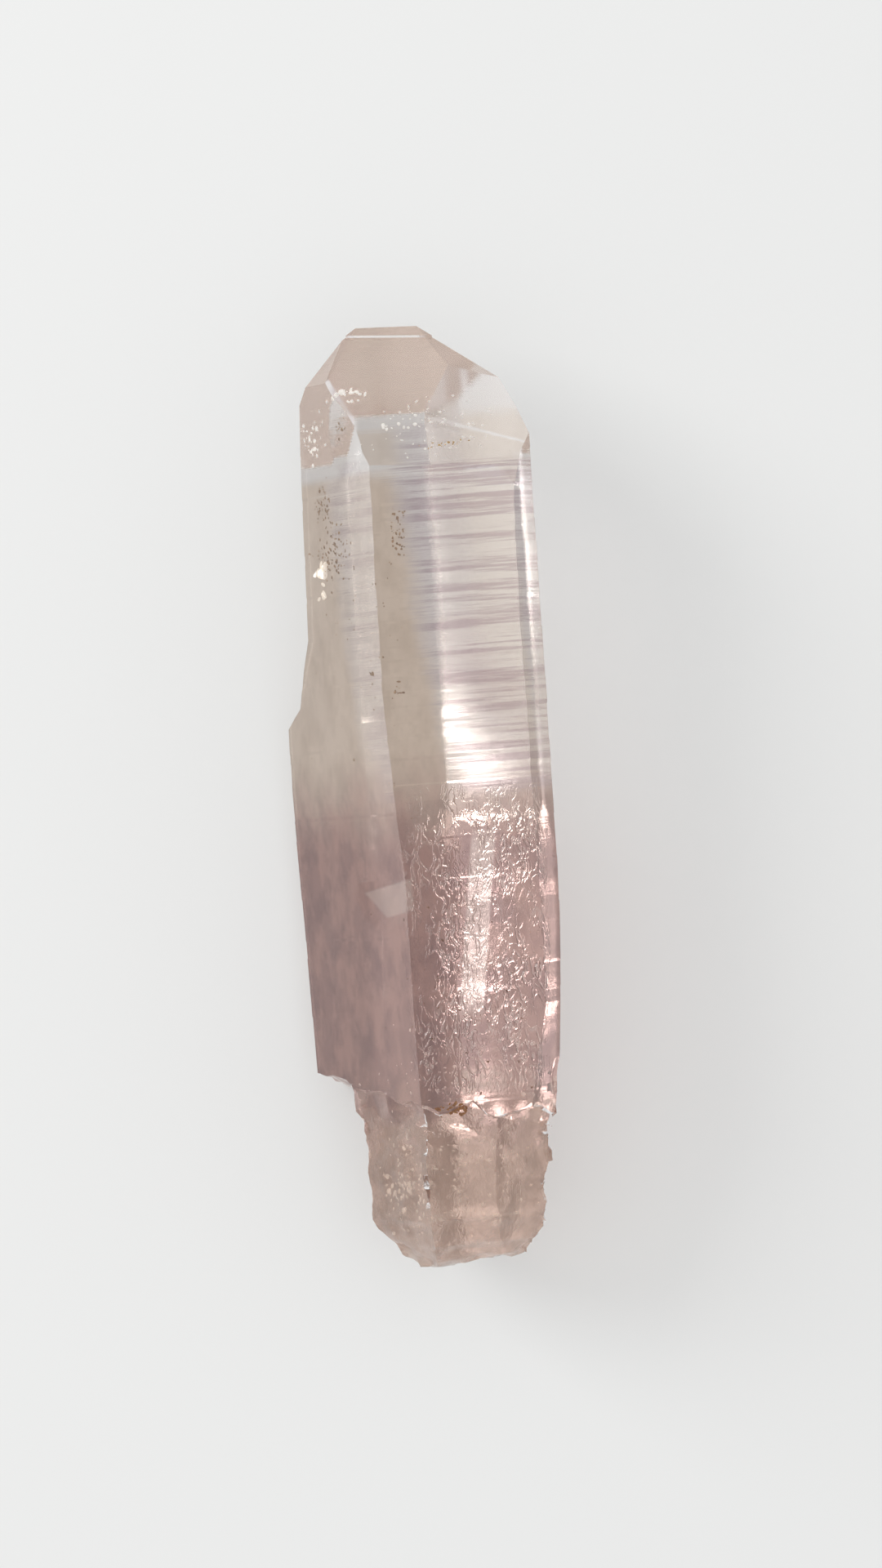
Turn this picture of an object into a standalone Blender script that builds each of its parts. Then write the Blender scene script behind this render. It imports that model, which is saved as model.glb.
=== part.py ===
"""A smoky quartz crystal: a long six-sided prism with a slanted tip and a broken stub.

The crystal lies on its flat rear prism face. +Y runs along it to the tip, +Z is up, away from the
surface it lies on, and +X is to the right when it is seen from above with the tip at the top.
"""

import math
import random

import bmesh
import bpy
from mathutils import Matrix, Vector, noise

MM = 0.001
SQRT3 = math.sqrt(3.0)

# Driving dimensions, in millimetres and degrees.
RHOMB_ANGLE = 38.2  # between a tip face and the long axis, as in every quartz crystal
SAME_POINT = 1.0e-6

# The upright edges along the crystal: height on the axis, then the X of the left edge, of the front
# face's left and right edges and of the right edge, and the Z of the front face.
UPRIGHT_EDGES = (
    (-42.0, -14.6, -2.9, 8.6, 11.6, 24.5),
    (-34.0, -14.65, -2.95, 9.5, 12.3, 24.5),
    (-29.0, -14.7, -3.0, 10.5, 12.95, 24.5),
    (-23.5, -14.75, -3.0, 11.7, 13.4, 24.5),
    (-14.0, -14.85, -2.85, 11.9, 14.0, 24.45),
    (-8.0, -14.95, -2.8, 11.9, 14.25, 24.4),
    (1.5, -15.1, -3.4, 12.0, 14.32, 24.35),
    (8.9, -14.9, -3.6, 12.05, 14.4, 24.3),
    (10.2, -14.0, -3.65, 12.05, 14.45, 24.3),
    (11.1, -13.3, -3.7, 12.05, 14.45, 24.3),
    (15.5, -12.55, -3.7, 12.1, 14.5, 24.25),
    (18.7, -11.8, -3.65, 12.1, 14.55, 24.2),
    (26.0, -11.55, -3.55, 12.2, 14.6, 24.1),
    (37.0, -11.2, -3.25, 12.7, 14.7, 24.0),
    (45.2, -10.7, -3.2, 12.9, 14.7, 23.9),
    (58.0, -10.2, -3.2, 12.9, 14.6, 23.8),
)
GROWTH_STEP = (11.0, 7.0, 1.8)  # the step on the left edge rises towards the rear: middle, reach and rise

# The growth ledges that cross each prism face: how deep each is, and where they are.
LEDGE_RUN = 0.16
LEDGES = {
    "front": (0.07, (36.1, 32.6, 31.0, 29.4, 24.3, 22.4, 21.0, 19.6, 16.8, 15.4, 13.7, 11.7, 10.2, 8.4,
                     6.9, 4.4, 1.6, -4.5, -9.0)),
    "right_front": (0.06, (34.0, 27.5, 21.5, 12.5, 3.0, -7.5, -19.0)),
    "right_rear": (0.08, (38.0, 30.2, 25.3, 18.1, 9.6, 5.5, -2.7, -12.4, -21.8)),
    "rear": (0.0, ()),
    "left_rear": (0.08, (39.5, 33.4, 28.2, 22.9, 4.9, -3.9, -10.6, -17.3, -24.0)),
    "left_front": (0.06, (34.6, 27.2, 23.5, 13.2, 6.0, -1.6, -15.3)),
}
AZIMUTHS = {
    "front": 0,
    "right_front": 60,
    "right_rear": 120,
    "rear": 180,
    "left_rear": 240,
    "left_front": 300,
}
SIDES = tuple(AZIMUTHS)
REAR_RIGHT_CORNER, REAR_LEFT_CORNER = 3, 4

# The narrow face that takes off the edge between the rear and right rear faces: height and width.
REAR_RIGHT_BEVEL = ((-42.0, 2.9), (-24.0, 2.7), (-6.0, 2.5), (-1.5, 0.6), (58.0, 0.6))

# The tip: where each sloping face rises from its prism face.
FRONT_TIP_START = 36.55
FRONT_TIP_TURN = 4.0  # the front face's lower edge falls this much towards the right
TIP_STARTS = {"right_rear": 46.3, "rear": 38.5, "left_rear": 45.2, "left_front": 47.1}
# Two small faces at the front face's right end: a point in X and Y at the height of the prism's front
# face, and the outward direction.
RIGHT_SLIVER = ((12.6, 36.1), (0.280, 0.574, 0.770))
CORNER_CUT = ((11.5, 35.25), (0.330, 0.254, 0.909))
FLAKE_HEIGHT = 0.35  # a last thin layer of growth left on the tip
FLAKE_START = 51.6

# The broken end: a stub narrower than the prism, then its tapering break. The columns are those of
# the upright edges, and then the Z of the right edge and of the rear.
STUB_EDGES = (
    (-28.0, -11.2, -2.0, 7.4, 9.9, 23.2, 18.6, 1.0),
    (-31.0, -11.2, -2.2, 6.8, 10.0, 23.2, 18.5, 0.9),
    (-34.7, -10.6, -2.6, 5.9, 11.0, 23.1, 18.3, 0.8),
    (-37.6, -9.8, -2.9, 5.2, 11.45, 22.9, 18.2, 0.7),
    (-41.5, -9.8, -3.0, 4.9, 11.1, 22.8, 17.9, 0.7),
    (-44.0, -9.8, -3.0, 4.8, 10.7, 22.7, 17.6, 0.7),
    (-47.0, -9.8, -3.0, 4.7, 10.3, 22.7, 17.2, 0.8),
    (-48.4, -9.2, -2.9, 4.7, 10.1, 21.4, 16.6, 1.5),
    (-50.1, -7.8, -2.8, 4.7, 9.4, 19.6, 15.6, 3.0),
    (-51.7, -6.6, -2.6, 4.6, 7.8, 17.2, 14.2, 4.8),
    (-53.0, -5.1, -2.4, 3.2, 5.2, 14.6, 12.4, 6.8),
)
STUB_ROWS = tuple(reversed(STUB_EDGES))
STUB_COLUMNS = 4
ROUGH_ABOVE, SMOOTH_BELOW = -36.0, -40.5
SHOULDER_ROUGHNESS, STUB_ROUGHNESS, BREAK_ROUGHNESS = 0.55, 0.10, 0.40
SHOULDER_LINE = (
    (-16.0, -29.6), (-14.7, -29.9), (-13.0, -31.1), (-11.7, -31.8), (-8.0, -32.4), (-3.0, -34.0),
    (-1.4, -35.8), (0.6, -35.0), (2.7, -33.9), (5.0, -36.6), (7.2, -35.6), (9.5, -34.3), (12.4, -36.8),
    (16.0, -38.0),
)
SHOULDER_CELL = 1.3

# Shells broken out of the edges and corners, each an oval: centre, half-sizes, how many times its
# facets are split, and the depth of its ripples.
BREAKS = {
    "skirt_left": ((-14.6, -55.4, 8.0), (8.0, 7.6, 13.0), 4, 0.16),
    "skirt_corner": ((10.2, -56.6, 10.5), (4.6, 6.2, 17.0), 4, 0.14),
    "skirt_middle": ((3.4, -66.0, 9.0), (12.0, 13.8, 34.0), 4, 0.16),
    "skirt_front": ((1.6, -59.8, 23.0), (8.4, 9.6, 8.8), 4, 0.14),
    "right_chip_upper": ((13.9, -32.6, 21.4), (2.5, 3.6, 2.5), 3, 0.10),
    "right_chip_middle": ((13.0, -38.6, 19.4), (2.4, 2.8, 2.4), 3, 0.10),
    "right_chip_lower": ((12.1, -45.0, 18.6), (2.2, 2.2, 2.3), 3, 0.10),
    "tip_chip_upper": ((-9.4, 51.8, 14.9), (2.6, 2.2, 2.6), 3, 0.06),
    "tip_chip_lower": ((-11.8, 49.0, 13.8), (2.6, 2.4, 3.0), 3, 0.06),
}

# Shallow hollows on the left front face: X and Y of the middle, half-width across the face,
# half-height, depth, and the height of the ledge that cuts its top off straight, if it has one.
HOLLOWS = {
    "tip_hollow": (-5.6, 41.4, 4.0, 5.4, 0.60, None),
    "window_hollow": (-5.4, -9.9, 6.0, 4.3, 0.40, -8.8),
}
HOLLOW_BULGE = 8.0

SMOKY_QUARTZ = {"colour": (0.80, 0.74, 0.66, 1.0), "roughness": 0.03, "ior": 1.544}


def clear_scene():
    """Take away what the start-up scene holds."""
    for thing in list(bpy.data.objects):
        bpy.data.objects.remove(thing, do_unlink=True)


def between(rows, y):
    """The values of a table at height y, on straight lines between its rows."""
    if y <= rows[0][0]:
        return rows[0][1:]
    for low, high in zip(rows, rows[1:]):
        if y <= high[0]:
            t = (y - low[0]) / (high[0] - low[0])
            return tuple(a + (b - a) * t for a, b in zip(low[1:], high[1:]))
    return rows[-1][1:]


def side_normal(side):
    """A prism face's outward direction in the X-Z plane."""
    turn = math.radians(AZIMUTHS[side])
    return math.sin(turn), math.cos(turn)


def hexagon(left, front_left, front_right, right, front, rear=0.0):
    """Six corners of a slice whose neighbouring sides meet at 120 degrees, from the front's left round."""
    right_height = front - (right - front_right) * SQRT3
    left_height = front - (front_left - left) * SQRT3
    return [
        (front_left, front),
        (front_right, front),
        (right, right_height),
        (right - (right_height - rear) / SQRT3, rear),
        (left + (left_height - rear) / SQRT3, rear),
        (left, left_height),
    ]


def ledge_depth(side, y):
    """How far in a side is at height y: going down, its ledges step in and out in turn."""
    step, places = LEDGES[side]
    depth = 0.0
    for place in places:
        passed = min(max((place - y) / LEDGE_RUN + 0.5, 0.0), 1.0)
        depth += step * passed
        step = -step
    return depth


def stepped_hexagon(y):
    """The prism's slice at height y, with each side moved by its ledges."""
    corners = hexagon(*between(UPRIGHT_EDGES, y))
    lines = []
    for (x, z), side in zip(corners, SIDES):
        nx, nz = side_normal(side)
        lines.append((nx, nz, x * nx + z * nz - ledge_depth(side, y)))
    stepped = []
    for (ax, az, a), (bx, bz, b) in zip(lines[-1:] + lines[:-1], lines):
        across = ax * bz - az * bx
        stepped.append(((a * bz - b * az) / across, (ax * b - bx * a) / across))
    return stepped


def prism_ring(y):
    """The slice at height y as points: the rear right corner is taken off by its bevel, and the rear left
    corner is raised where the growth step slants."""
    middle, reach, rise = GROWTH_STEP
    corners = [Vector((x, y, z)) for x, z in stepped_hexagon(y)]
    corners[REAR_LEFT_CORNER].y += rise * max(0.0, 1.0 - abs(y - middle) / reach)
    corner = corners[REAR_RIGHT_CORNER]
    leg = between(REAR_RIGHT_BEVEL, y)[0] / SQRT3
    before = corner + (corners[REAR_RIGHT_CORNER - 1] - corner).normalized() * leg
    after = corner - Vector((leg, 0, 0))
    return corners[:REAR_RIGHT_CORNER] + [before, after] + corners[REAR_LEFT_CORNER:]


def slice_heights():
    """Every height where the prism's slice changes: the tables' rows and both ends of each ledge."""
    heights = {row[0] for row in UPRIGHT_EDGES + REAR_RIGHT_BEVEL}
    for _, places in LEDGES.values():
        for place in places:
            heights.add(round(place - LEDGE_RUN / 2, 3))
            heights.add(round(place + LEDGE_RUN / 2, 3))
    return sorted(heights)


def loft(rings):
    """A closed mesh through rings of points that all run the same way round."""
    bm = bmesh.new()
    loops = [[bm.verts.new(Vector(p) * MM) for p in ring] for ring in rings]
    for lower, upper in zip(loops, loops[1:]):
        for i in range(len(lower)):
            bm.faces.new((lower[i - 1], upper[i - 1], upper[i], lower[i]))
    bm.faces.new(loops[0])
    bm.faces.new(loops[-1])
    bmesh.ops.recalc_face_normals(bm, faces=bm.faces)
    return bm


def cleave(bm, point, normal):
    """Cut away what lies beyond a plane and close the cut with one flat face."""
    everything = bm.verts[:] + bm.edges[:] + bm.faces[:]
    plane = {"plane_co": Vector(point) * MM, "plane_no": Vector(normal)}
    bmesh.ops.bisect_plane(bm, geom=everything, dist=SAME_POINT * MM, clear_outer=True, **plane)
    rim = [edge for edge in bm.edges if edge.is_boundary]
    bmesh.ops.holes_fill(bm, edges=rim, sides=0)


def tip_normal(azimuth, turn=0.0):
    """The outward direction of the tip face over the prism face at this azimuth."""
    slope = math.radians(RHOMB_ANGLE)
    around = math.radians(azimuth)
    normal = Vector((math.cos(slope) * math.sin(around), math.sin(slope), math.cos(slope) * math.cos(around)))
    return Matrix.Rotation(math.radians(-turn), 3, "Z") @ normal


def front_tip_plane():
    """A point on the big front face of the tip, and its direction."""
    corners = stepped_hexagon(FRONT_TIP_START)
    middle = (corners[0][0] + corners[1][0]) / 2
    return Vector((middle, FRONT_TIP_START, corners[0][1])), tip_normal(0, FRONT_TIP_TURN)


def prism_and_tip():
    """The prism with its ledges, cleaved to the tip's sloping faces."""
    bm = loft([prism_ring(y) for y in slice_heights()])
    point, normal = front_tip_plane()
    cleave(bm, point + normal * FLAKE_HEIGHT, normal)
    for side, start in TIP_STARTS.items():
        x, z = stepped_hexagon(start)[SIDES.index(side)]
        cleave(bm, (x, start, z), tip_normal(AZIMUTHS[side]))
    for (x, y), direction in (RIGHT_SLIVER, CORNER_CUT):
        cleave(bm, (x, y, stepped_hexagon(y)[0][1]), direction)
    return bm


def ragged(point, amount):
    """A point of a broken face, moved a little by a smooth random field."""
    field = noise.noise_vector(point * 0.31) * 0.7 + noise.noise_vector(point * 0.83) * 0.3
    return point + Vector((field.x, field.y * 0.6, field.z)) * amount * 2.0


def stub_roughness(y):
    """How uneven the stub is at height y: ragged at the shoulder and at its break, smoother between."""
    if y <= STUB_EDGES[7][0]:
        return BREAK_ROUGHNESS
    t = min(max((y - SMOOTH_BELOW) / (ROUGH_ABOVE - SMOOTH_BELOW), 0.0), 1.0)
    return STUB_ROUGHNESS + (SHOULDER_ROUGHNESS - STUB_ROUGHNESS) * t


def stub_slice(y):
    """Six corners of the stub's slice at height y. Its right edge sits as high as its table says."""
    left, front_left, front_right, right, front, right_height, rear = between(STUB_ROWS, y)
    corners = hexagon(left, front_left, front_right, right, front, rear)
    corners[2] = (right, right_height)
    corners[3] = (right - (right_height - rear) / SQRT3, rear)
    return corners


def stub():
    """The broken stub: a narrower prism whose sides are split into uneven facets."""
    heights = []
    for low, high in zip(STUB_ROWS, STUB_ROWS[1:]):
        parts = max(1, round((high[0] - low[0]) / 1.7))
        heights += [low[0] + (high[0] - low[0]) * i / parts for i in range(parts)]
    heights.append(STUB_ROWS[-1][0])
    rings = []
    for y in heights:
        corners = stub_slice(y)
        ring = []
        for (x, z), (next_x, next_z) in zip(corners, corners[1:] + corners[:1]):
            for column in range(STUB_COLUMNS):
                t = column / STUB_COLUMNS
                place = Vector((x + (next_x - x) * t, y, z + (next_z - z) * t))
                ring.append(ragged(place, stub_roughness(y)))
        rings.append(ring)
    bm = loft(rings)
    bmesh.ops.triangulate(bm, faces=bm.faces)
    return bm


def shoulder_cutter():
    """What the shoulder's break took away: everything below a ragged sheet across the prism."""
    bm = bmesh.new()
    width, depth, below = 36.0, 30.0, -60.0
    columns, rows = round(width / SHOULDER_CELL), round(depth / SHOULDER_CELL)
    sheet = []
    for i in range(columns + 1):
        for j in range(rows + 1):
            x, z = SHOULDER_CELL * i - width / 2, SHOULDER_CELL * j - (depth - 24.0) / 2
            y = between(SHOULDER_LINE, x)[0]
            y += SHOULDER_ROUGHNESS * 2.0 * noise.noise(Vector((x, y, z)) * 0.3)
            sheet.append(bm.verts.new(Vector((x, y, z)) * MM))
    for i in range(columns):
        for j in range(rows):
            a = i * (rows + 1) + j
            b = a + rows + 1
            bm.faces.new((sheet[a], sheet[a + 1], sheet[b + 1], sheet[b]))
    swept = bmesh.ops.extrude_face_region(bm, geom=bm.faces[:])["geom"]
    for vert in swept:
        if isinstance(vert, bmesh.types.BMVert):
            vert.co.y = below * MM
    bmesh.ops.triangulate(bm, faces=bm.faces)
    bmesh.ops.recalc_face_normals(bm, faces=bm.faces)
    return bm


def flake_cutter():
    """The layer of growth that the tip's front face lacks below its last flake."""
    point, normal = front_tip_plane()
    across = Vector((normal.y, -normal.x, 0)).normalized()
    upslope = normal.cross(across)
    flake = (FLAKE_START - point.y) / upslope.y
    bm = bmesh.new()
    bmesh.ops.create_cube(bm, size=1.0)
    for vert in bm.verts:
        offset = across * vert.co.x * 60.0 + upslope * (flake + (vert.co.y - 0.5) * 40.0)
        vert.co = (point + offset + normal * (vert.co.z + 0.5) * 8.0) * MM
    bmesh.ops.recalc_face_normals(bm, faces=bm.faces)
    return bm


def break_cutter(centre, half_sizes, splits, ripple, seed):
    """An oval whose surface carries the shell-like ripples of broken quartz."""
    bm = bmesh.new()
    bmesh.ops.create_icosphere(bm, subdivisions=splits, radius=1.0)
    draw = random.Random(seed)
    strike = Vector((draw.uniform(-1, 1), draw.uniform(0.2, 1), draw.uniform(-1, 1))).normalized()
    size = max(half_sizes)
    for vert in bm.verts:
        place = Vector([c * h for c, h in zip(vert.co, half_sizes)])
        rings = math.sin((vert.co - strike).length * size * 1.9)
        lift = ripple * (0.6 * rings + 1.6 * noise.noise(place * 0.45 + Vector((seed, 0, 0))))
        vert.co = (Vector(centre) + place + vert.co * lift) * MM
    bmesh.ops.recalc_face_normals(bm, faces=bm.faces)
    return bm


def hollow_cutter(x, y, half_width, half_height, depth, ledge):
    """A flat oval that takes a shallow hollow out of the left front face."""
    front_left, front = stepped_hexagon(y)[0]
    nx, nz = side_normal("left_front")
    normal, across, up = Vector((nx, 0, nz)), Vector((nz, 0, -nx)), Vector((0, 1, 0))
    middle = Vector((x, y, front - (front_left - x) * SQRT3)) + normal * (HOLLOW_BULGE - depth)
    spread = math.sqrt(HOLLOW_BULGE / (2.0 * depth))
    bm = bmesh.new()
    bmesh.ops.create_icosphere(bm, subdivisions=4, radius=1.0)
    for vert in bm.verts:
        c = vert.co
        oval = across * c.x * half_width * spread + up * c.y * half_height * spread
        vert.co = (middle + oval + normal * c.z * HOLLOW_BULGE) * MM
    bmesh.ops.recalc_face_normals(bm, faces=bm.faces)
    if ledge is not None:
        cleave(bm, (x, ledge, 0), up)
    return bm


def to_object(bm, name):
    """A new object in the scene that holds this mesh."""
    mesh = bpy.data.meshes.new(name)
    bm.to_mesh(mesh)
    bm.free()
    thing = bpy.data.objects.new(name, mesh)
    bpy.context.scene.collection.objects.link(thing)
    return thing


def combine(target, bm, name, operation):
    """Join a guide shape to the target, or cut the target with it, by a Boolean modifier."""
    guide = to_object(bm, name)
    guide.hide_render = True
    guide.display_type = "WIRE"
    modifier = target.modifiers.new(name, "BOOLEAN")
    modifier.operation = operation
    modifier.solver = "EXACT"
    modifier.object = guide


def quartz_material():
    """Clear, faintly smoky quartz."""
    material = bpy.data.materials.new("smoky_quartz")
    material.use_nodes = True
    shader = material.node_tree.nodes["Principled BSDF"]
    shader.inputs["Base Color"].default_value = SMOKY_QUARTZ["colour"]
    shader.inputs["Roughness"].default_value = SMOKY_QUARTZ["roughness"]
    shader.inputs["Metallic"].default_value = 0.0
    shader.inputs["IOR"].default_value = SMOKY_QUARTZ["ior"]
    shader.inputs["Transmission Weight"].default_value = 1.0
    return material


def build_crystal():
    """The whole crystal: prism and tip, then its breaks."""
    crystal = to_object(prism_and_tip(), "crystal")
    crystal.data.materials.append(quartz_material())
    combine(crystal, flake_cutter(), "flake_step", "DIFFERENCE")
    for name, hollow in HOLLOWS.items():
        combine(crystal, hollow_cutter(*hollow), name, "DIFFERENCE")
    combine(crystal, shoulder_cutter(), "shoulder_break", "DIFFERENCE")
    combine(crystal, stub(), "stub_core", "UNION")
    for seed, (name, shell) in enumerate(BREAKS.items()):
        combine(crystal, break_cutter(*shell, seed), name, "DIFFERENCE")


clear_scene()
build_crystal()
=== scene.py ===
import math
import random

import bpy
import numpy as np
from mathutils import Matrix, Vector


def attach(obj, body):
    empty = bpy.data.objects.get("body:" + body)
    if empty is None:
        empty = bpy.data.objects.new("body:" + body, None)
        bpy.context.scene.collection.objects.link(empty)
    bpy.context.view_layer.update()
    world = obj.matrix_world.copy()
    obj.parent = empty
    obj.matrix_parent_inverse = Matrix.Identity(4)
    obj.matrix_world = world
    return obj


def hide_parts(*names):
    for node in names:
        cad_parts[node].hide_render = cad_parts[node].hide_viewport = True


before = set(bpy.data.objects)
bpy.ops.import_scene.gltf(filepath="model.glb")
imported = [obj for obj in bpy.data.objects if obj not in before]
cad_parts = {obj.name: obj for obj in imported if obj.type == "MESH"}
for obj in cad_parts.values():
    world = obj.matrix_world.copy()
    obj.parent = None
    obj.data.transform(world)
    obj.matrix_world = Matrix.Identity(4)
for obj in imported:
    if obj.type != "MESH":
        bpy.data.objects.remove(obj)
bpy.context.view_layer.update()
scene = bpy.context.scene
MM = 0.001

# Places on the crystal in millimetres: X to the right, Y to the tip, Z up from the floor.
FRONT_HEIGHT = 24.4
FACE_BAND = (FRONT_HEIGHT - 0.8, FRONT_HEIGHT - 0.4)
TIP_START = 36.5
SHOULDER = -31.5
ETCHED_LEFT, ETCHED_RIGHT = -3.2, 12.0
ETCHED_LOW, ETCHED_HIGH = -34.0, 2.5

# Planes that cut the skin finely: axis, first, last, step, and a nudge that keeps them off its own points.
SKIN_CUTS = (
    (0, -14.0, 14.5, 1.0, 0.013),
    (2, 1.5, FRONT_HEIGHT, 1.5, 0.011),
    (1, -52.5, 53.2, 0.3, 0.007),
)

# Quartz: light bends by its index, and a pale brown is taken out on the way through.
QUARTZ_INDEX = 1.544
SMOKE_COLOUR, SMOKE_DENSITY = (0.86, 0.80, 0.72), 8.0

# Colours in pairs, lighter and darker patches of the same part.
PALE = ((0.93, 0.81, 0.71), (0.83, 0.71, 0.61))
# Painted reflection: a pinkish, darker surround seen in the lower half.
PAINTED_ROSE_REFLECTION = ((0.64, 0.42, 0.38), (0.44, 0.285, 0.275))
# Painted reflection: the same surround, browner, over the broken base.
PAINTED_BASE_REFLECTION = ((0.66, 0.47, 0.39), (0.46, 0.32, 0.26))
# Painted brightness: a clearer, lighter colour for the bright tip and the lined zone.
PAINTED_CLEAR_BRIGHTNESS = (1.0, 0.975, 0.97)
# Painted reflection lines, as the striations catch light.
PAINTED_LINE_REFLECTION = (0.56, 0.45, 0.50)
# Painted light: the brighter view through the crystal along the pale band.
PAINTED_BAND_LIGHT = (0.97, 0.86, 0.80)
WINDOW_CREAM = (0.96, 0.88, 0.82)
# Painted glints on the etched crests.
PAINTED_CREST_GLINT = (1.0, 0.93, 0.88)
MILK = ((0.97, 0.94, 0.88), (0.86, 0.82, 0.76))
BROWN = ((0.58, 0.43, 0.30), (0.38, 0.26, 0.18))
RUST = ((0.90, 0.60, 0.18), (0.66, 0.36, 0.11))

# Grains inside, as (x, y, depth below the face), (spread of each), count, size.
MILKY_SPOTS = (
    ((-9.25, 26.2, 0.8), (0.6, 0.8, 0.2), 12, 0.42),
    ((-9.3, 23.5, 0.8), (0.5, 0.6, 0.2), 7, 0.30),
    ((3.5, 41.2, 1.2), (9.0, 3.6, 0.8), 90, 0.12),
    ((-5.0, 45.4, 0.8), (2.4, 1.2, 0.4), 16, 0.20),
    ((-9.3, 41.1, 0.9), (1.4, 2.6, 0.4), 40, 0.17),
    ((-5.5, -42.8, 1.0), (2.6, 5.0, 0.6), 90, 0.20),
    ((0.5, -41.0, 1.6), (9.0, 9.0, 1.0), 110, 0.15),
    ((-1.0, -30.0, 1.2), (5.0, 4.0, 0.8), 40, 0.12),
)
BROWN_SPOTS = (
    ((-8.0, 27.8, 0.9), (2.2, 3.0, 0.4), 110, 0.13),
    ((-8.6, 33.4, 0.9), (1.2, 2.4, 0.4), 60, 0.11),
    ((-0.6, 29.6, 1.2), (1.2, 3.0, 0.6), 50, 0.10),
    ((-4.45, 14.2, 0.8), (0.3, 0.3, 0.2), 4, 0.20),
    ((-2.0, 12.0, 1.0), (0.9, 1.4, 0.4), 9, 0.12),
    ((-4.5, 18.0, 1.2), (5.0, 11.0, 1.0), 50, 0.07),
    ((3.0, -18.0, 1.4), (10.0, 15.0, 1.0), 90, 0.08),
    ((-6.0, 41.8, 0.9), (1.2, 1.2, 0.4), 14, 0.12),
)
RUST_SPOTS = (
    ((0.4, -34.6, 0.7), (1.8, 0.6, 0.3), 60, 0.17),
    ((5.4, 38.9, 0.8), (2.2, 0.5, 0.3), 20, 0.08),
)
LEAST_DEPTH, LEAST_COVER = 0.5, 0.2
GRAIN_FLATNESS = 0.35
GRAIN_TILT, GRAIN_TURN = 0.5, 3.1

# The photograph shows this many pixels to a millimetre, in a frame this high.
PHOTO_HEIGHT, PIXELS_PER_MM = 1920.0, 10.85
CAMERA_AWAY = 0.600
CAMERA_OVER = (1.96, 1.42, 11.0)
CAMERA_TURN = math.radians(4.4)
LIGHT_BOUNCES, GLOSSY_BOUNCES = 24, 16


# ---------------------------------------------------------------- modelling by hand
def only(piece):
    """Selects one piece and makes it the active one."""
    bpy.ops.object.select_all(action="DESELECT")
    piece.select_set(True)
    bpy.context.view_layer.objects.active = piece


def choose_faces(piece, wanted):
    """Selects the faces for which wanted(middle in millimetres, direction) holds."""
    mesh = piece.data
    middles, directions = np.empty(len(mesh.polygons) * 3), np.empty(len(mesh.polygons) * 3)
    mesh.polygons.foreach_get("center", middles)
    mesh.polygons.foreach_get("normal", directions)
    chosen = wanted(middles.reshape(-1, 3).T / MM, directions.reshape(-1, 3).T)
    mesh.polygons.foreach_set("select", chosen)
    mesh.edges.foreach_set("select", np.zeros(len(mesh.edges), bool))
    mesh.vertices.foreach_set("select", np.zeros(len(mesh.vertices), bool))
    mesh.update()


def cut_across(axis, first, last, step, nudge):
    """Cuts the whole piece by planes square to one axis, in edit mode."""
    normal = [0.0, 0.0, 0.0]
    normal[axis] = 1.0
    for place in np.arange(first, last, step) + nudge:
        point = [0.0, 0.0, 0.0]
        point[axis] = place * MM
        bpy.ops.mesh.select_all(action="SELECT")
        bpy.ops.mesh.bisect(plane_co=point, plane_no=normal)


def smooth_rise(values, low, high):
    """0 below low and 1 above high, with a smooth rise between."""
    share = np.clip((values - low) / (high - low), 0.0, 1.0)
    return share * share * (3.0 - 2.0 * share)


def weigh(piece, name, weights):
    """A vertex group that holds these weights, in tenths."""
    group = piece.vertex_groups.new(name=name)
    for tenths in range(1, 11):
        inside = np.nonzero(np.round(weights * 10.0).astype(int) == tenths)[0]
        if len(inside):
            group.add(inside.tolist(), tenths / 10.0, "REPLACE")


def pattern(name, kind, **settings):
    """A texture for a Displace modifier."""
    made = bpy.data.textures.new(name, kind)
    made.noise_scale = 1.0
    for key, value in settings.items():
        setattr(made, key, value)
    return made


def roughen(piece, group, texture, size, height, level):
    """Moves a group's points along their normals by a texture of this size and height in millimetres."""
    bpy.ops.object.empty_add(location=(0.0, 0.0, 0.0))
    guide = bpy.context.object
    guide.scale = [length * MM for length in size]
    bpy.context.view_layer.update()
    only(piece)
    modifier = piece.modifiers.new(group, "DISPLACE")
    modifier.texture = texture
    modifier.texture_coords = "OBJECT"
    modifier.texture_coords_object = guide
    modifier.vertex_group = group
    modifier.mid_level = level
    modifier.strength = height * MM
    bpy.ops.object.modifier_apply(modifier=modifier.name)
    bpy.data.objects.remove(guide, do_unlink=True)


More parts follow.
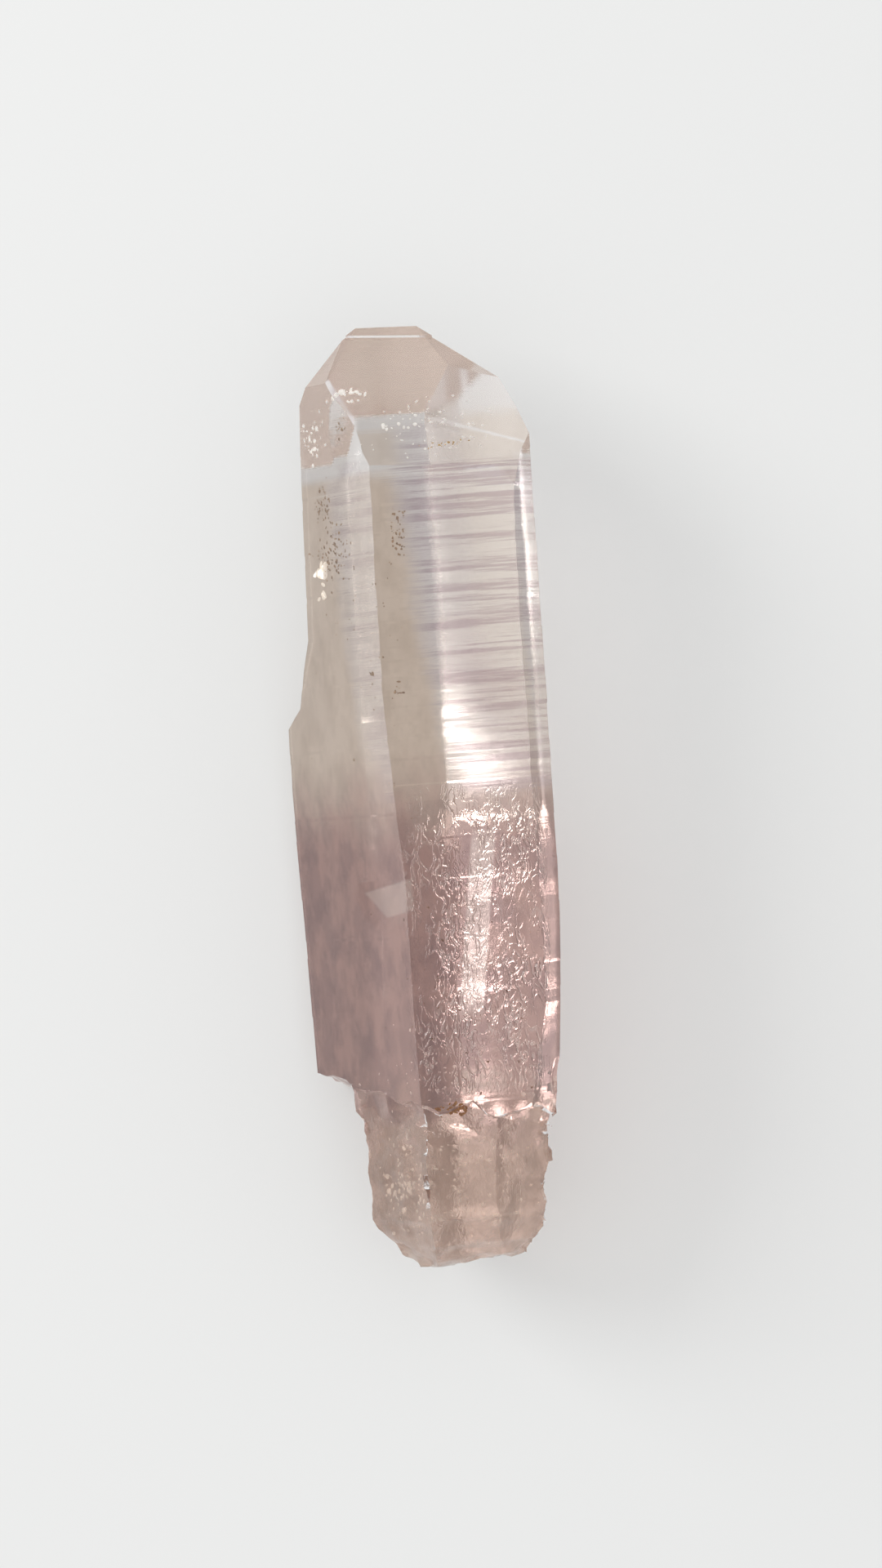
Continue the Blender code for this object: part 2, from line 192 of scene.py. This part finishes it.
# ---------------------------------------------------------------- materials
class Nodes:
    """Short ways to add shader nodes and link them."""

    def __init__(self, tree):
        self.tree = tree

    def add(self, kind, **settings):
        node = self.tree.nodes.new(kind)
        for key, value in settings.items():
            setattr(node, key, value)
        return node

    def feed(self, socket, value):
        """Gives a socket another node's output, a number or a colour."""
        if isinstance(value, bpy.types.NodeSocket):
            self.tree.links.new(value, socket)
        elif isinstance(value, tuple):
            socket.default_value = (*value, 1.0)
        else:
            socket.default_value = value

    def noise(self, coords, size, detail, roughness=0.55, distortion=0.0):
        """A cloudy value whose features have this size along X, Y and Z, in millimetres."""
        place = self.add("ShaderNodeMapping")
        place.inputs["Scale"].default_value = [1.0 / (length * MM) for length in size]
        self.feed(place.inputs["Vector"], coords)
        node = self.add("ShaderNodeTexNoise")
        self.feed(node.inputs["Vector"], place.outputs[0])
        node.inputs["Scale"].default_value = 1.0
        node.inputs["Detail"].default_value = detail
        node.inputs["Roughness"].default_value = roughness
        node.inputs["Distortion"].default_value = distortion
        return node.outputs["Fac"]

    def rise(self, value, low, high, start=0.0, end=1.0):
        """Goes smoothly from start to end while the value goes from low to high."""
        node = self.add("ShaderNodeMapRange", interpolation_type="SMOOTHSTEP")
        ends = {"From Min": low, "From Max": high, "To Min": start, "To Max": end}
        for name, number in ends.items():
            node.inputs[name].default_value = number
        self.feed(node.inputs["Value"], value)
        return node.outputs["Result"]

    def rise_mm(self, value, low, high):
        """As rise, between two places in millimetres."""
        return self.rise(value, low * MM, high * MM)

    def maths(self, operation, first, second=0.0):
        node = self.add("ShaderNodeMath", operation=operation)
        self.feed(node.inputs[0], first)
        self.feed(node.inputs[1], second)
        return node.outputs[0]

    def times(self, first, *others):
        for other in others:
            first = self.maths("MULTIPLY", first, other)
        return first

    def plus(self, first, second):
        return self.maths("ADD", first, second)

    def distance(self, value, middle):
        """How far a value is from its middle."""
        return self.maths("ABSOLUTE", self.maths("SUBTRACT", value, middle))

    def mix(self, amount, first, second):
        node = self.add("ShaderNodeMix", data_type="RGBA")
        self.feed(node.inputs["Factor"], amount)
        self.feed(node.inputs["A"], first)
        self.feed(node.inputs["B"], second)
        return node.outputs["Result"]


def new_material(name):
    """A material, its node helper and its Principled shader."""
    made = bpy.data.materials.new(name)
    made.use_nodes = True
    return made, Nodes(made.node_tree), made.node_tree.nodes["Principled BSDF"]


def lined_zone(n, x, y, clouds):
    """The upper right part of the crystal, where fine lines cross it, with an uneven left edge. It carries
    painted brightness and painted reflection lines as well as deeper striation relief.
    """
    edge = n.maths("SUBTRACT", x, n.times(n.maths("SUBTRACT", 37.0 * MM, y), 0.14))
    uneven = n.times(n.maths("SUBTRACT", clouds, 0.5), 4.0 * MM)
    inside = n.rise_mm(n.plus(edge, uneven), -3.0, 0.8)
    return n.times(inside, n.rise_mm(y, -1.0, 1.5), n.rise_mm(y, 37.2, 36.6))


def pale_band(n, x, y, z):
    """The pale textured band that leans down the front face of the lower half. Its paleness is painted light,
    a brighter view through the crystal; its grain and roughness are the surface's own.
    """
    middle = n.plus(n.times(y, 0.143), 6.83 * MM)
    across = n.rise_mm(n.distance(x, middle), 1.5, 1.1)
    return n.times(across, n.rise_mm(y, -3.0, -6.0), n.rise_mm(y, -25.0, -22.5), n.rise_mm(z, *FACE_BAND))


def window_patch(n, x, y, z):
    """The pale patch like a window on the left front face, narrower at its foot."""
    slant = n.maths("SUBTRACT", n.plus(y, 11.2 * MM), n.times(n.plus(x, 5.0 * MM), 0.25))
    left_side = n.plus(x, n.times(n.plus(y, 9.0 * MM), 0.8))
    return n.times(n.rise_mm(n.maths("ABSOLUTE", slant), 1.9, 1.5), n.rise_mm(left_side, -8.6, -8.0),
                   n.rise_mm(x, -1.9, -2.3), n.rise_mm(z, 11.0, 13.0))


def quartz():
    """Smoky quartz: pale and finely lined above, rosier and darker below, rough where etched or broken. Its
    colour holds painted light: a clearer tip and lined zone with painted reflection lines, a pinkish painted
    reflection below that turns browner at the base, a painted pale view through the band, and painted glints
    on the etched ridges.
    """
    made, n, shader = new_material("smoky_quartz")
    coords = n.add("ShaderNodeTexCoord").outputs["Object"]
    axes = n.add("ShaderNodeSeparateXYZ")
    n.feed(axes.inputs[0], coords)
    x, y, z = axes.outputs
    broken = n.add("ShaderNodeAttribute", attribute_name="broken").outputs["Fac"]
    etched = n.add("ShaderNodeAttribute", attribute_name="etched").outputs["Fac"]
    etched = n.times(etched, n.rise(n.noise(coords, (3.5, 9.0, 3.5), 2.0), 0.40, 0.58, 0.12, 1.0))

    # Where each part of the crystal lies. The painted pinkish reflection of the lower half begins at an
    # uneven height, and a browner painted reflection takes over towards the base.
    clouds = n.noise(coords, (7.0, 12.0, 7.0), 3.0)
    wavy_height = n.plus(y, n.times(n.maths("SUBTRACT", clouds, 0.5), 14.0 * MM))
    painted_rosy_reflection = n.rise_mm(wavy_height, 6.0, -6.0)
    # Painted reflection, browner, towards the broken base.
    painted_base_reflection = n.rise_mm(wavy_height, -30.0, -40.0)
    # The tip gets painted brightness, a clearer and lighter colour.
    tip = n.rise_mm(y, TIP_START - 0.7, TIP_START + 0.5)
    lined = lined_zone(n, x, y, clouds)
    band = pale_band(n, x, y, z)
    window = window_patch(n, x, y, z)

    # The etched worm-like ridges are the thin crests of a stretched noise, with a painted glint on top.
    from_crest = n.distance(n.noise(coords, (0.9, 1.9, 0.9), 2.0, 0.5, 0.9), 0.5)
    crest = n.rise(from_crest, 0.09, 0.0)
    crest_glint = n.times(n.rise(from_crest, 0.028, 0.010), etched)

    # Colour.
    patches = n.rise(n.noise(coords, (3.0, 5.0, 3.0), 4.0, 0.6), 0.42, 0.62)
    # Painted reflection lines across the lined zone.
    painted_line_reflections = n.times(n.rise(n.noise(coords, (30.0, 0.8, 30.0), 5.0, 0.75), 0.46, 0.57), lined)
    # Painted brightness: a clearer, lighter colour on the tip and the lined zone.
    colour = n.mix(n.maths("MAXIMUM", tip, lined), n.mix(patches, *PALE), PAINTED_CLEAR_BRIGHTNESS)
    # Painted reflection: pinkish and darker over the lower half.
    colour = n.mix(painted_rosy_reflection, colour, n.mix(patches, *PAINTED_ROSE_REFLECTION))
    # Painted reflection: browner over the broken base.
    colour = n.mix(painted_base_reflection, colour, n.mix(patches, *PAINTED_BASE_REFLECTION))
    # Painted light along the pale band.
    colour = n.mix(band, colour, PAINTED_BAND_LIGHT)
    # Painted reflection lines.
    colour = n.mix(painted_line_reflections, colour, PAINTED_LINE_REFLECTION)
    colour = n.mix(window, colour, WINDOW_CREAM)
    # Painted glints on the etched crests.
    colour = n.mix(n.times(crest_glint, 0.6), colour, PAINTED_CREST_GLINT)
    n.feed(shader.inputs["Base Color"], colour)

    # Roughness.
    rough = n.plus(n.times(broken, 0.06), 0.03)
    rough = n.plus(rough, n.times(n.maths("MAXIMUM", band, window), 0.22))
    n.feed(shader.inputs["Roughness"], n.plus(rough, n.times(etched, 0.04)))

    # Relief too fine for the mesh.
    grain = n.noise(coords, (0.5, 0.7, 0.5), 4.0, 0.6, 0.6)
    steps = n.noise(coords, (12.0, 0.35, 12.0), 4.0, 0.6)
    stepped = n.times(steps, n.plus(0.18, n.times(lined, 0.6)), n.maths("SUBTRACT", 1.0, broken))
    grainy = n.times(grain, n.plus(broken, n.times(band, 0.9)))
    relief = n.plus(n.plus(stepped, grainy), n.times(crest, n.times(etched, 1.3)))
    bump = n.add("ShaderNodeBump")
    bump.inputs["Strength"].default_value = 0.8
    bump.inputs["Distance"].default_value = 0.12 * MM
    n.feed(bump.inputs["Height"], relief)
    n.feed(shader.inputs["Normal"], bump.outputs[0])

    shader.inputs["IOR"].default_value = QUARTZ_INDEX
    shader.inputs["Transmission Weight"].default_value = 1.0
    smoke = n.add("ShaderNodeVolumeAbsorption")
    smoke.inputs["Color"].default_value = (*SMOKE_COLOUR, 1.0)
    smoke.inputs["Density"].default_value = SMOKE_DENSITY
    n.feed(made.node_tree.nodes["Material Output"].inputs["Volume"], smoke.outputs[0])
    return made


def mottle_group():
    """A node group: a colour and a roughness that change from place to place inside a mineral."""
    group = bpy.data.node_groups.new("mottle", "ShaderNodeTree")
    sockets = (("Coordinates", "INPUT", "NodeSocketVector"), ("Light", "INPUT", "NodeSocketColor"),
               ("Dark", "INPUT", "NodeSocketColor"), ("Scale", "INPUT", "NodeSocketFloat"),
               ("Light Roughness", "INPUT", "NodeSocketFloat"),
               ("Colour", "OUTPUT", "NodeSocketColor"), ("Roughness", "OUTPUT", "NodeSocketFloat"))
    for name, side, kind in sockets:
        group.interface.new_socket(name=name, in_out=side, socket_type=kind)
    n = Nodes(group)
    given = n.add("NodeGroupInput").outputs
    cloud = n.add("ShaderNodeTexNoise")
    n.feed(cloud.inputs["Vector"], given["Coordinates"])
    n.feed(cloud.inputs["Scale"], given["Scale"])
    cloud.inputs["Detail"].default_value = 4.0
    cloud.inputs["Roughness"].default_value = 0.65
    amount = n.rise(cloud.outputs["Fac"], 0.35, 0.65)
    result = n.add("NodeGroupOutput").inputs
    n.feed(result["Colour"], n.mix(amount, given["Light"], given["Dark"]))
    rougher = n.maths("SUBTRACT", 1.0, n.times(n.rise(amount, 0.0, 1.0), 0.4))
    n.feed(result["Roughness"], n.times(rougher, given["Light Roughness"]))
    return group


def mineral(name, group, colours, size, roughness, painted_glow=0.0):
    """An opaque grain or stain, mottled. A milky one glows faintly with painted light, an emission in its
    lighter colour that stands in for light scattered inside the quartz.
    """
    made, n, shader = new_material(name)
    mottle = n.add("ShaderNodeGroup", node_tree=group)
    n.feed(mottle.inputs["Coordinates"], n.add("ShaderNodeTexCoord").outputs["Object"])
    values = {"Light": colours[0], "Dark": colours[1],
              "Scale": 1.0 / (size * MM), "Light Roughness": roughness}
    for socket, value in values.items():
        n.feed(mottle.inputs[socket], value)
    n.feed(shader.inputs["Base Color"], mottle.outputs["Colour"])
    n.feed(shader.inputs["Roughness"], mottle.outputs["Roughness"])
    # Painted light: a faint emission in the lighter colour.
    shader.inputs["Emission Color"].default_value = (*colours[0], 1.0)
    shader.inputs["Emission Strength"].default_value = painted_glow
    return made


# ---------------------------------------------------------------- the crystal
def fine_skin():
    """A copy of the solid's skin, cut into small faces, smallest on the etched part of the front face."""
    bpy.ops.object.select_all(action="DESELECT")
    body = bpy.data.objects.new("crystal_body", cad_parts["crystal"].data.copy())
    scene.collection.objects.link(body)
    only(body)
    bpy.ops.object.mode_set(mode="EDIT")
    bpy.ops.mesh.select_all(action="SELECT")
    bpy.ops.mesh.remove_doubles(threshold=1e-6)
    bpy.ops.mesh.dissolve_limited(angle_limit=math.radians(0.2))
    for cuts in SKIN_CUTS:
        cut_across(*cuts)
    bpy.ops.object.mode_set(mode="OBJECT")

    def on_etched_face(middle, direction):
        x, y, z = middle
        return ((direction[2] > 0.97) & (z > FRONT_HEIGHT - 1.0) & (x > ETCHED_LEFT) & (x < ETCHED_RIGHT)
                & (y > ETCHED_LOW) & (y < ETCHED_HIGH))

    choose_faces(body, on_etched_face)
    bpy.ops.object.mode_set(mode="EDIT")
    bpy.ops.mesh.select_mode(type="FACE")
    bpy.ops.mesh.subdivide(number_cuts=2)
    bpy.ops.object.mode_set(mode="OBJECT")
    return body


def crystal_body():
    """The crystal's skin with its striations, etched marks and shell-like breaks."""
    body = fine_skin()
    points = np.empty(len(body.data.vertices) * 3)
    body.data.vertices.foreach_get("co", points)
    x, y, z = (points.reshape(-1, 3) / MM).T
    etched = smooth_rise(y, ETCHED_LOW, ETCHED_LOW + 4.0)
    etched *= 1.0 - smooth_rise(y, ETCHED_HIGH - 6.0, ETCHED_HIGH)
    etched *= smooth_rise(x, ETCHED_LEFT - 0.2, ETCHED_LEFT + 1.0) * (z > FRONT_HEIGHT - 0.6)
    broken = 1.0 - smooth_rise(y, SHOULDER - 6.0, SHOULDER - 1.0)
    striated = smooth_rise(y, -28.0, -20.0) * (1.0 - smooth_rise(y, TIP_START, TIP_START + 2.0)) * (z > 0.6)
    weigh(body, "etched", etched)
    weigh(body, "broken", broken)
    weigh(body, "striated", striated)

    roughen(body, "striated", pattern("striations", "CLOUDS", noise_depth=3), (14.0, 0.8, 14.0), 0.025, 0.5)
    roughen(body, "etched", pattern("etch_marks", "STUCCI", turbulence=4.0), (0.75, 1.5, 0.75), 0.05, 0.5)
    # A level of 1 takes the breaks inwards only, so they stay within the solid.
    roughen(body, "broken", pattern("shell_breaks", "CLOUDS", noise_depth=2), (1.0, 0.8, 1.0), 0.22, 1.0)
    roughen(body, "broken", pattern("shell_edges", "VORONOI", noise_intensity=1.0), (3.6, 2.6, 3.6), 0.7, 1.0)

    # Vertex groups and attributes share their names, so the groups go first.
    body.vertex_groups.clear()
    for name, weights in (("etched", etched), ("broken", broken)):
        made = body.data.attributes.new(name, "FLOAT", "POINT")
        made.data.foreach_set("value", weights.astype(np.float32))
    only(body)
    bpy.ops.object.shade_smooth_by_angle(angle=math.radians(14.0))
    body.data.materials.clear()
    body.data.materials.append(quartz())
    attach(body, "root")
    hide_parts("crystal")
    return body


def below_face(body, x, y, depth):
    """The place this far below the crystal's upper side, or None beside the crystal or too near its skin."""
    found, top, _, _ = body.ray_cast(Vector((x, y, 2.0 * FRONT_HEIGHT * MM)), Vector((0.0, 0.0, -1.0)))
    if not found:
        return None
    place = top - Vector((0.0, 0.0, depth))
    found, nearest, outward, _ = body.closest_point_on_mesh(place)
    return place if found and (nearest - place).dot(outward) > LEAST_COVER * MM else None


def flat_grain():
    """The grain that all others are copies of: a coarse ball of radius 1, pressed flat."""
    bpy.ops.object.select_all(action="DESELECT")
    bpy.ops.mesh.primitive_ico_sphere_add(subdivisions=1, radius=1.0)
    grain = bpy.context.object
    bpy.ops.object.mode_set(mode="EDIT")
    bpy.ops.mesh.select_all(action="SELECT")
    bpy.ops.transform.resize(value=(1.0, 1.0, GRAIN_FLATNESS))
    bpy.ops.object.mode_set(mode="OBJECT")
    return grain


def copy_of(grain, place, size, draw):
    """A copy of the grain with its own mesh, at its place and size, a little tilted."""
    copy = bpy.data.objects.new("grain", grain.data.copy())
    scene.collection.objects.link(copy)
    copy.location = place
    radius = size * draw.uniform(0.6, 1.7) * MM
    copy.scale = (radius * draw.uniform(0.5, 1.5), radius * draw.uniform(0.5, 1.6), radius)
    copy.rotation_euler = (draw.uniform(-GRAIN_TILT, GRAIN_TILT), draw.uniform(-GRAIN_TILT, GRAIN_TILT),
                           draw.uniform(0, GRAIN_TURN))
    return copy


def scatter(name, body, spots, material, seed):
    """One piece of small grains, gathered round spots inside the crystal."""
    draw = random.Random(seed)
    first = flat_grain()
    bpy.context.view_layer.update()
    grains = []
    for middle, spread, count, size in spots:
        for _ in range(count):
            x, y, depth = [(m + draw.gauss(0.0, 0.5) * s) * MM for m, s in zip(middle, spread)]
            place = below_face(body, x, y, max(depth, LEAST_DEPTH * MM))
            if place is not None:
                grains.append(copy_of(first, place, size, draw))
    bpy.data.objects.remove(first, do_unlink=True)
    bpy.ops.object.select_all(action="DESELECT")
    for grain in grains:
        grain.select_set(True)
    bpy.context.view_layer.objects.active = grains[0]
    bpy.ops.object.join()
    piece = bpy.context.object
    piece.name = name
    bpy.ops.object.transform_apply(location=True, rotation=True, scale=True)
    bpy.ops.object.shade_flat()
    piece.data.materials.clear()
    piece.data.materials.append(material)
    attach(piece, "root")


def inclusions(body):
    """What the quartz has grown round: milky wisps and flecks, brown specks and a rusty stain."""
    mottle = mottle_group()
    scatter("milky_wisps", body, MILKY_SPOTS, mineral("milky_wisp", mottle, MILK, 0.6, 0.5, 0.32), 3)
    scatter("brown_specks", body, BROWN_SPOTS, mineral("brown_speck", mottle, BROWN, 0.5, 0.7), 5)
    scatter("rusty_stain", body, RUST_SPOTS, mineral("rusty_stain", mottle, RUST, 0.5, 0.6), 7)


# ---------------------------------------------------------------- studio
def pale_floor():
    """A plain pale floor just under the crystal. A part of its light is its own, so it stays even."""
    bpy.ops.mesh.primitive_plane_add(size=3.0, location=(0.0, 0.0, -0.0002))
    floor = bpy.context.object
    floor.name = "floor"
    made, _, shader = new_material("pale_floor")
    shader.inputs["Base Color"].default_value = (0.53, 0.53, 0.52, 1.0)
    shader.inputs["Roughness"].default_value = 0.9
    shader.inputs["Specular IOR Level"].default_value = 0.1
    shader.inputs["Emission Color"].default_value = (1.0, 1.0, 0.985, 1.0)
    shader.inputs["Emission Strength"].default_value = 0.26
    floor.data.materials.append(made)


def soft_light():
    """An even pale room, and a soft box high at the left."""
    world = bpy.data.worlds.new("soft_room")
    world.use_nodes = True
    background = world.node_tree.nodes["Background"]
    background.inputs["Color"].default_value = (0.97, 0.98, 1.0, 1.0)
    background.inputs["Strength"].default_value = 0.88
    scene.world = world

    lamp = bpy.data.lights.new("left_softbox", "AREA")
    lamp.shape = "RECTANGLE"
    lamp.size, lamp.size_y = 0.5, 0.5
    lamp.energy = 5.0
    box = bpy.data.objects.new("left_softbox", lamp)
    scene.collection.objects.link(box)
    box.location = (-0.74, 0.42, 0.52)
    box.rotation_euler = (-box.location).to_track_quat("-Z", "Y").to_euler()


def camera_above():
    """The camera looks straight down, turned as the photograph has the crystal."""
    data = bpy.data.cameras.new("camera")
    camera = bpy.data.objects.new("camera", data)
    scene.collection.objects.link(camera)
    data.sensor_width = 36.0
    data.lens = data.sensor_width * CAMERA_AWAY / (PHOTO_HEIGHT / PIXELS_PER_MM * MM)
    data.clip_start = 0.01
    camera.location = [place * MM for place in CAMERA_OVER]
    camera.location.z += CAMERA_AWAY
    camera.rotation_euler = (0.0, 0.0, -CAMERA_TURN)
    scene.camera = camera
    scene.view_settings.view_transform = "Standard"
    # Light needs many turns inside the crystal before it finds a way out.
    scene.cycles.max_bounces = LIGHT_BOUNCES
    scene.cycles.glossy_bounces = GLOSSY_BOUNCES
    scene.cycles.transmission_bounces = LIGHT_BOUNCES


pale_floor()
soft_light()
camera_above()
inclusions(crystal_body())
